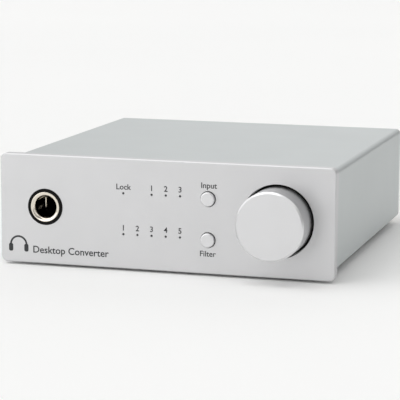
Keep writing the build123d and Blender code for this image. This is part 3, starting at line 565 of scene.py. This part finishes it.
def light_room(scene):
    """The backdrop is white, and the walls that the metal mirrors are grey, lighter on the left."""
    studio = scene.converter_studio
    white = (1, 1, 1, 1)
    world = bpy.data.worlds.new("studio_room")
    world.use_nodes = True
    tree = world.node_tree
    tree.nodes.clear()
    direction = add(tree, "ShaderNodeTexCoord").outputs["Generated"]
    to_the_right = add(tree, "ShaderNodeSeparateXYZ", {"Vector": direction}).outputs["X"]
    strength = add(
        tree,
        "ShaderNodeMapRange",
        {
            "Value": to_the_right,
            "From Min": -1.0,
            "From Max": 0.0,
            "To Min": (studio.room + studio.left_wall) * studio.brightness,
            "To Max": studio.room * studio.brightness,
        },
    ).outputs["Result"]
    walls = add(tree, "ShaderNodeBackground", {"Color": white, "Strength": strength})
    backdrop = add(tree, "ShaderNodeBackground", {"Color": white})
    behind = add(tree, "ShaderNodeLightPath").outputs["Is Camera Ray"]
    both = add(tree, "ShaderNodeMixShader", {0: behind, 1: walls.outputs[0], 2: backdrop.outputs[0]})
    add(tree, "ShaderNodeOutputWorld", {"Surface": both.outputs[0]})
    scene.world = world
    scene.view_settings.view_transform = "Standard"


def hang_soft_lights(scene):
    """One broad, distant light for each row of the list."""
    studio = scene.converter_studio
    for name, turn, rise, strength in SOFT_LIGHTS:
        lamp = bpy.data.lights.new(name, "SUN")
        lamp.angle = studio.softness
        lamp.energy = strength * studio.brightness
        light = bpy.data.objects.new(name, lamp)
        scene.collection.objects.link(light)
        light.rotation_mode = "QUATERNION"
        light.rotation_quaternion = outward(math.radians(turn), math.radians(rise)).to_track_quat("Z", "Y")


def aim_camera(scene):
    """Stands the camera off the point it looks at, then tilts it about its own axis."""
    studio = scene.converter_studio
    target = Vector((AIM_RIGHT, FACE + AIM_BEHIND, PLATE_LOW.z + AIM_ABOVE))
    back = outward(studio.azimuth, studio.elevation)
    right = Vector((math.cos(studio.azimuth), math.sin(studio.azimuth), 0))
    up = back.cross(right)
    tilt = Matrix.Rotation(studio.roll, 3, back)
    lens = bpy.data.cameras.new("camera")
    lens.lens = studio.lens
    lens.sensor_width = SENSOR_WIDTH
    lens.clip_start = NEAREST_SEEN
    camera = bpy.data.objects.new("camera", lens)
    scene.collection.objects.link(camera)
    turned = Matrix((tilt @ right, tilt @ up, back)).transposed()
    camera.matrix_world = Matrix.Translation(target + back * studio.distance) @ turned.to_4x4()
    scene.camera = camera


# ---------------------------------------------------------------- operators
class CONVERTER_OT_case_finish(bpy.types.Operator):
    """Finishes the front plate, cover, tray, feet and case screws"""

    bl_idname = "converter.case_finish"
    bl_label = "Case finish"

    def execute(self, context):
        finish = context.scene.converter_finish
        paint(blasted_plate(), "front_plate")
        paint(anodised_sheet("sanded_anodised_aluminium_cover", finish.case), "top_cover")
        paint(anodised_sheet("sanded_anodised_aluminium_tray", finish.tray), "chassis_tray")
        paint(soft_rubber(), "foot_front_left", "foot_front_right", "foot_rear_left", "foot_rear_right")
        paint(
            plain_steel("zinc_plated_steel", linear("b9bcc0"), 0.32),
            "front_plate_screws",
            "cover_screws",
            "rear_screws",
            "board_screws",
        )
        return {"FINISHED"}


class CONVERTER_OT_control_finish(bpy.types.Operator):
    """Finishes the knob, the buttons, the potentiometer and the switches"""

    bl_idname = "converter.control_finish"
    bl_label = "Control finish"

    def execute(self, context):
        finish = context.scene.converter_finish
        paint(turned_aluminium("turned_anodised_aluminium_knob", KNOB_CENTRE), "volume_knob")
        paint(turned_aluminium("turned_anodised_aluminium_input_button", INPUT_CENTRE), "input_button")
        paint(turned_aluminium("turned_anodised_aluminium_filter_button", FILTER_CENTRE), "filter_button")
        paint(plain_steel("blackened_steel", linear("222326"), 0.45), "knob_grub_screw")
        paint(plain_steel("ground_steel", linear("a8a9aa"), 0.35), "pot_shaft", "pot_body")
        paint(bright_plate("turned_brass", linear("c9a65c"), 0.25, 0.4), "pot_bush", "board_standoffs")
        paint(bright_plate("nickel_plated_nut", finish.nickel, 0.18, 0.3), "pot_nut")
        # the washer behind the knob's gap is drawn near black, so that the gap reads black
        paint(moulded_plastic("near_black_washer_behind_knob_gap", linear("0b0b0c"), 0.8), "pot_washer")
        paint(
            moulded_plastic("moulded_black_nylon_switch", finish.moulding, 0.5),
            "input_switch_body",
            "filter_switch_body",
            "input_switch_plunger",
            "filter_switch_plunger",
            "board_link",
        )
        paint(smoked_guide(), "upper_light_guide", "lower_light_guide")
        paint(lamp_resin(), "upper_indicator_leds", "lower_indicator_leds")
        return {"FINISHED"}


class CONVERTER_OT_socket_finish(bpy.types.Operator):
    """Finishes the headphone socket and every socket on the rear wall"""

    bl_idname = "converter.socket_finish"
    bl_label = "Socket finish"

    def execute(self, context):
        finish = context.scene.converter_finish
        paint(moulded_plastic("moulded_black_abs_collar", linear("020202"), 0.6, 0.15), "jack_collar")
        paint(bright_plate("polished_nickel_ferrule", finish.nickel, 0.08, 0.16), "jack_ferrule")
        paint(
            bright_plate("plated_spring_strip", linear("dcd8cd"), 0.15, 0.25),
            "jack_ring_spring",
            "jack_tip_spring",
            "dc_socket_spring",
        )
        paint(
            moulded_plastic("moulded_black_nylon_socket", finish.moulding, 0.45),
            "jack_body",
            "dc_socket_body",
            "optical_body",
            "optical_shutter",
            "coax_body",
        )
        paint(moulded_plastic("moulded_black_nylon_tongue", linear("19191b"), 0.4), "usb_insulator")
        paint(moulded_plastic("moulded_white_abs", finish.left, 0.3), "left_out_body")
        paint(moulded_plastic("moulded_red_abs", finish.right, 0.3), "right_out_body")
        paint(
            bright_plate("nickel_plated_steel_shell", linear("cfcfcd"), 0.2, 0.34),
            "usb_shell",
            "dc_socket_pin",
        )
        gold = bright_plate("gold_plated_brass", finish.gold, 0.12, 0.22)
        for name in ("coax", "left_out", "right_out"):
            paint(gold, f"{name}_shell", f"{name}_centre")
        return {"FINISHED"}


class CONVERTER_OT_board_finish(bpy.types.Operator):
    """Finishes both circuit boards and the large parts on them"""

    bl_idname = "converter.board_finish"
    bl_label = "Board finish"

    def execute(self, context):
        paint(board_laminate(), "main_board", "front_board")
        paint(
            moulded_plastic("moulded_black_epoxy_chip", linear("1b1c1e"), 0.55),
            "usb_receiver_chip",
            "converter_chip",
            "amplifier_chips",
        )
        paint(bright_plate("nickel_plated_can", linear("d3d1cb"), 0.22, 0.34), "clock_oscillators")
        paint(moulded_plastic("moulded_white_pbt", linear("dcdcd6"), 0.35), "mute_relay")
        paint(moulded_plastic("moulded_red_box", linear("8f1714"), 0.3), "coupling_capacitors")
        paint(capacitor_sleeve(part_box("supply_capacitors")[1].z), "supply_capacitors")
        return {"FINISHED"}


class CONVERTER_OT_front_print(bpy.types.Operator):
    """Prints the numbers and words on the front plate"""

    bl_idname = "converter.front_print"
    bl_label = "Front print"

    def execute(self, context):
        print_settings = context.scene.converter_print
        ink = printed_ink("screen_printed_grey_ink", context.scene.converter_finish.ink)
        face = FACE - print_settings.ink_depth

        def printed(text, height, x, z, align="CENTER"):
            bm = words(text, height, align)
            upright(bm, Vector((x, face, z)))
            return bm

        height = print_settings.mark_height
        columns = 5
        number_rise = 1.15 * MM
        numbers = bmesh.new()
        # the upper row has a light in the first column, none in the second, then three that are numbered
        first, pitch, row_z = light_columns("upper_indicator_leds", columns)
        for count in (1, 2, 3):
            x = first + (count + 1) * pitch
            join(numbers, printed(str(count), height, x, row_z + number_rise))
        lock_x = first
        lock_z = row_z + number_rise
        first, pitch, row_z = light_columns("lower_indicator_leds", columns)
        for count in range(1, columns + 1):
            x = first + (count - 1) * pitch
            join(numbers, printed(str(count), height, x, row_z + number_rise))
        place_piece("light_numbers", numbers, ink, "case")

        input_shift, input_rise = 0.2 * MM, 3.2 * MM
        filter_shift, filter_drop = 0.05 * MM, 4.85 * MM
        labels = bmesh.new()
        join(labels, printed("Lock", height, lock_x, lock_z))
        join(labels, printed("Input", height, INPUT_CENTRE.x + input_shift, INPUT_CENTRE.z + input_rise))
        join(labels, printed("Filter", height, FILTER_CENTRE.x - filter_shift, FILTER_CENTRE.z - filter_drop))
        place_piece("control_words", labels, ink, "case")

        title_inset, title_rise = 10.1 * MM, 3.2 * MM
        title = printed(
            print_settings.title,
            print_settings.title_height,
            PLATE_LOW.x + title_inset,
            PLATE_LOW.z + title_rise,
            "LEFT",
        )
        place_piece("title_words", title, ink, "case")
        return {"FINISHED"}


class CONVERTER_OT_front_symbol(bpy.types.Operator):
    """Prints a plain headphone symbol at the lower left of the plate"""

    bl_idname = "converter.front_symbol"
    bl_label = "Front symbol"

    def execute(self, context):
        print_settings = context.scene.converter_print
        ink = printed_ink("screen_printed_symbol_ink", context.scene.converter_finish.ink)
        width = print_settings.symbol_width
        radius = width / 2
        band = 0.1 * width
        cup_width, cup_height = 0.24 * width, 0.42 * width
        cup_inset, cup_drop, cup_corner = 0.06 * width, 0.16 * width, 0.09 * width
        symbol_inset, symbol_rise = 5.6 * MM, 5.4 * MM
        bm = bmesh.new()
        # headband: half a ring
        inner = bm.verts.new((radius - band, 0, 0))
        outer = bm.verts.new((radius, 0, 0))
        bmesh.ops.spin(
            bm,
            geom=[inner, outer, bm.edges.new((inner, outer))],
            cent=(0, 0, 0),
            axis=(0, 0, 1),
            angle=math.pi,
            steps=24,
        )
        # two ear cups that hang from its ends
        for side in (-1, 1):
            cup = bmesh.ops.create_grid(bm, x_segments=1, y_segments=1, size=0.5)["verts"]
            bmesh.ops.scale(bm, vec=(cup_width, cup_height, 1), verts=cup)
            bmesh.ops.translate(bm, vec=(side * (radius - cup_inset), -cup_drop, 0), verts=cup)
            bmesh.ops.bevel(
                bm, geom=cup, offset=cup_corner, affect="VERTICES", segments=4, profile=0.5, material=-1
            )
        grown = bmesh.ops.extrude_face_region(bm, geom=list(bm.faces))["geom"]
        raised = [item for item in grown if isinstance(item, bmesh.types.BMVert)]
        bmesh.ops.translate(bm, vec=(0, 0, 2 * print_settings.ink_depth), verts=raised)
        bmesh.ops.translate(bm, vec=(0, 0, -print_settings.ink_depth), verts=bm.verts)
        upright(
            bm,
            Vector((PLATE_LOW.x + symbol_inset, FACE - print_settings.ink_depth, PLATE_LOW.z + symbol_rise)),
        )
        place_piece("headphone_symbol", bm, ink, "case")
        return {"FINISHED"}


class CONVERTER_OT_rear_print(bpy.types.Operator):
    """Prints the socket numbers and words on the rear wall"""

    bl_idname = "converter.rear_print"
    bl_label = "Rear print"

    def execute(self, context):
        print_settings = context.scene.converter_print
        ink = printed_ink("screen_printed_rear_ink", context.scene.converter_finish.ink)
        wall = REAR_WALL + print_settings.ink_depth
        under, over = 6.2 * MM, 25.6 * MM  # base lines of the marks below and the words above the sockets
        marks = {
            "usb_shell": "1",
            "optical_body": "2",
            "coax_shell": "3",
            "right_out_shell": "R",
            "left_out_shell": "L",
            "dc_socket_body": "5 V",
        }
        rear_words = bmesh.new()
        for node, text in marks.items():
            low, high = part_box(node)
            bm = words(text, print_settings.mark_height)
            upright(bm, Vector(((low.x + high.x) / 2, wall, under)), rear=True)
            join(rear_words, bm)
        groups = {"Input": ("usb_shell", "coax_shell"), "Output": ("right_out_shell", "left_out_shell")}
        for text, nodes in groups.items():
            middle = sum((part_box(node)[0].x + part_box(node)[1].x) / 2 for node in nodes) / len(nodes)
            bm = words(text, print_settings.mark_height)
            upright(bm, Vector((middle, wall, over)), rear=True)
            join(rear_words, bm)
        place_piece("rear_words", rear_words, ink, "case")
        return {"FINISHED"}


class CONVERTER_OT_usb_contacts(bpy.types.Operator):
    """Adds the four gold strips on the USB tongue"""

    bl_idname = "converter.usb_contacts"
    bl_label = "USB contacts"

    def execute(self, context):
        gold = bright_plate("gold_flashed_strip", context.scene.converter_finish.gold, 0.15, 0.25)
        low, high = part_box("usb_shell")
        centre = (low + high) / 2
        strip_size = (1.0 * MM, 6.4 * MM, 0.16 * MM)
        aside, inside, above = 1.25 * MM, 5.2 * MM, 1.68 * MM  # from the mouth's middle to a strip's middle
        strips = bmesh.new()
        for level in (-1, 1):
            for side in (-1, 1):
                at = Vector((centre.x + side * aside, high.y - inside, centre.z + level * above))
                block(strips, at, strip_size)
        place_piece("usb_contacts", strips, gold, "case")
        return {"FINISHED"}


class CONVERTER_OT_chip_legs(bpy.types.Operator):
    """Adds the bent legs round the USB receiver chip and the converter chip"""

    bl_idname = "converter.chip_legs"
    bl_label = "Chip legs"

    def execute(self, context):
        tin = bright_plate("tinned_copper_leg", linear("c9cacb"), 0.25, 0.4)
        reach = 0.9 * MM
        shoulder, knee = 0.3 * reach, 0.45 * reach
        rooted = 0.05 * MM
        foot_rise = 0.08 * MM
        bare_corners = 1.2 * MM
        width_share = 0.42  # a leg's width in its pitch
        for node, pitch in (("usb_receiver_chip", 0.8 * MM), ("converter_chip", 0.65 * MM)):
            bm = bmesh.new()
            low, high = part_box(node)
            centre = (low + high) / 2
            half = (high.x - low.x) / 2
            foot = low.z - centre.z + foot_rise
            count = int((2 * half - bare_corners) / pitch)
            for turn in range(4):
                spin = Matrix.Rotation(turn * math.pi / 2, 3, "Z")
                for i in range(count):
                    across = (i - (count - 1) / 2) * pitch
                    path = (
                        Vector((half - rooted, across, 0)),
                        Vector((half + shoulder, across, 0)),
                        Vector((half + knee, across, foot)),
                        Vector((half + reach, across, foot)),
                    )
                    strip(bm, [centre + spin @ p for p in path], spin @ Vector((0, width_share * pitch, 0)))
            place_piece(f"{node}_legs", bm, tin, "case")
        return {"FINISHED"}


class CONVERTER_OT_chip_resistors(bpy.types.Operator):
    """Adds rows of small resistors with tinned ends"""

    bl_idname = "converter.chip_resistors"
    bl_label = "Chip resistors"

    def execute(self, context):
        tin = bright_plate("tinned_resistor_end", linear("c9cacb"), 0.25, 0.4)
        ceramic = moulded_plastic("glazed_black_alumina", linear("17181a"), 0.25)
        size = Vector((1.2, 1.25, 0.5)) * MM
        end = 0.4 * MM
        end_swell = 1.05  # the solder makes an end a little higher than its body
        row_gaps = (3.2 * MM, 5.4 * MM)  # from the part's front edge to each row
        in_row = 5
        bodies = bmesh.new()
        ends = bmesh.new()
        for node in ("usb_receiver_chip", "converter_chip", "mute_relay"):
            low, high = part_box(node)
            for i in range(in_row):
                x = low.x + (high.x - low.x) * i / (in_row - 1)
                for gap in row_gaps:
                    at = Vector((x, low.y - gap, BOARD_TOP + size.z / 2))
                    block(bodies, at, size)
                    for side in (-1, 1):
                        beside = Vector((side * (size.x + end) / 2, 0, 0))
                        block(ends, at + beside, (end, size.y, size.z * end_swell))
        place_piece("resistor_bodies", bodies, ceramic, "case")
        place_piece("resistor_ends", ends, tin, "case")
        return {"FINISHED"}


class CONVERTER_OT_link_pins(bpy.types.Operator):
    """Adds the pins that join the two boards"""

    bl_idname = "converter.link_pins"
    bl_label = "Link pins"

    def execute(self, context):
        gold = bright_plate("gold_flashed_pin", context.scene.converter_finish.gold, 0.2, 0.3)
        low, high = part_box("board_link")
        pitch = 2.0 * MM
        pin_width = 0.5 * MM
        straight, bend, drop_at, above_board = 0.7 * MM, 0.6 * MM, 1.1 * MM, 0.6 * MM
        count = int((high.x - low.x) / pitch) - 1
        pins = bmesh.new()
        for i in range(count):
            x = (low.x + high.x) / 2 + (i - (count - 1) / 2) * pitch
            at = Vector((x, high.y + bend, (low.z + high.z) / 2))
            path = (
                at - Vector((0, straight, 0)),
                at,
                Vector((x, high.y + drop_at, BOARD_TOP + above_board)),
                Vector((x, high.y + drop_at, BOARD_TOP)),
            )
            strip(pins, path, Vector((pin_width, 0, 0)))
        place_piece("link_pins", pins, gold, "case")
        return {"FINISHED"}


class CONVERTER_OT_studio(bpy.types.Operator):
    """Sets up the table, the pale room, the soft lights and the camera"""

    bl_idname = "converter.studio"
    bl_label = "Studio"

    def execute(self, context):
        lay_table()
        light_room(context.scene)
        hang_soft_lights(context.scene)
        aim_camera(context.scene)
        return {"FINISHED"}


OPERATORS = (
    CONVERTER_OT_case_finish,
    CONVERTER_OT_control_finish,
    CONVERTER_OT_socket_finish,
    CONVERTER_OT_board_finish,
    CONVERTER_OT_front_print,
    CONVERTER_OT_front_symbol,
    CONVERTER_OT_rear_print,
    CONVERTER_OT_usb_contacts,
    CONVERTER_OT_chip_legs,
    CONVERTER_OT_chip_resistors,
    CONVERTER_OT_link_pins,
    CONVERTER_OT_studio,
)


class CONVERTER_PT_panel(bpy.types.Panel):
    """Lists the converter's makers and their settings"""

    bl_idname = "CONVERTER_PT_panel"
    bl_label = "Desktop converter"
    bl_space_type = "VIEW_3D"
    bl_region_type = "UI"
    bl_category = "Converter"

    def draw(self, context):
        for group in ("converter_finish", "converter_print", "converter_studio"):
            settings = getattr(context.scene, group)
            box = self.layout.box()
            for key in settings.__annotations__:
                box.prop(settings, key)
        for maker in OPERATORS:
            self.layout.operator(maker.bl_idname)


GROUPS = {
    "converter_finish": ConverterFinish,
    "converter_print": ConverterPrint,
    "converter_studio": ConverterStudio,
}


def register():
    for name, group in GROUPS.items():
        bpy.utils.register_class(group)
        setattr(bpy.types.Scene, name, bpy.props.PointerProperty(type=group))
    for maker in (*OPERATORS, CONVERTER_PT_panel):
        bpy.utils.register_class(maker)


def unregister():
    for maker in (CONVERTER_PT_panel, *reversed(OPERATORS)):
        bpy.utils.unregister_class(maker)
    for name, group in GROUPS.items():
        delattr(bpy.types.Scene, name)
        bpy.utils.unregister_class(group)


def main():
    register()
    for maker in OPERATORS:
        group, name = maker.bl_idname.split(".")
        getattr(getattr(bpy.ops, group), name)()


if __name__ == "__main__":
    main()
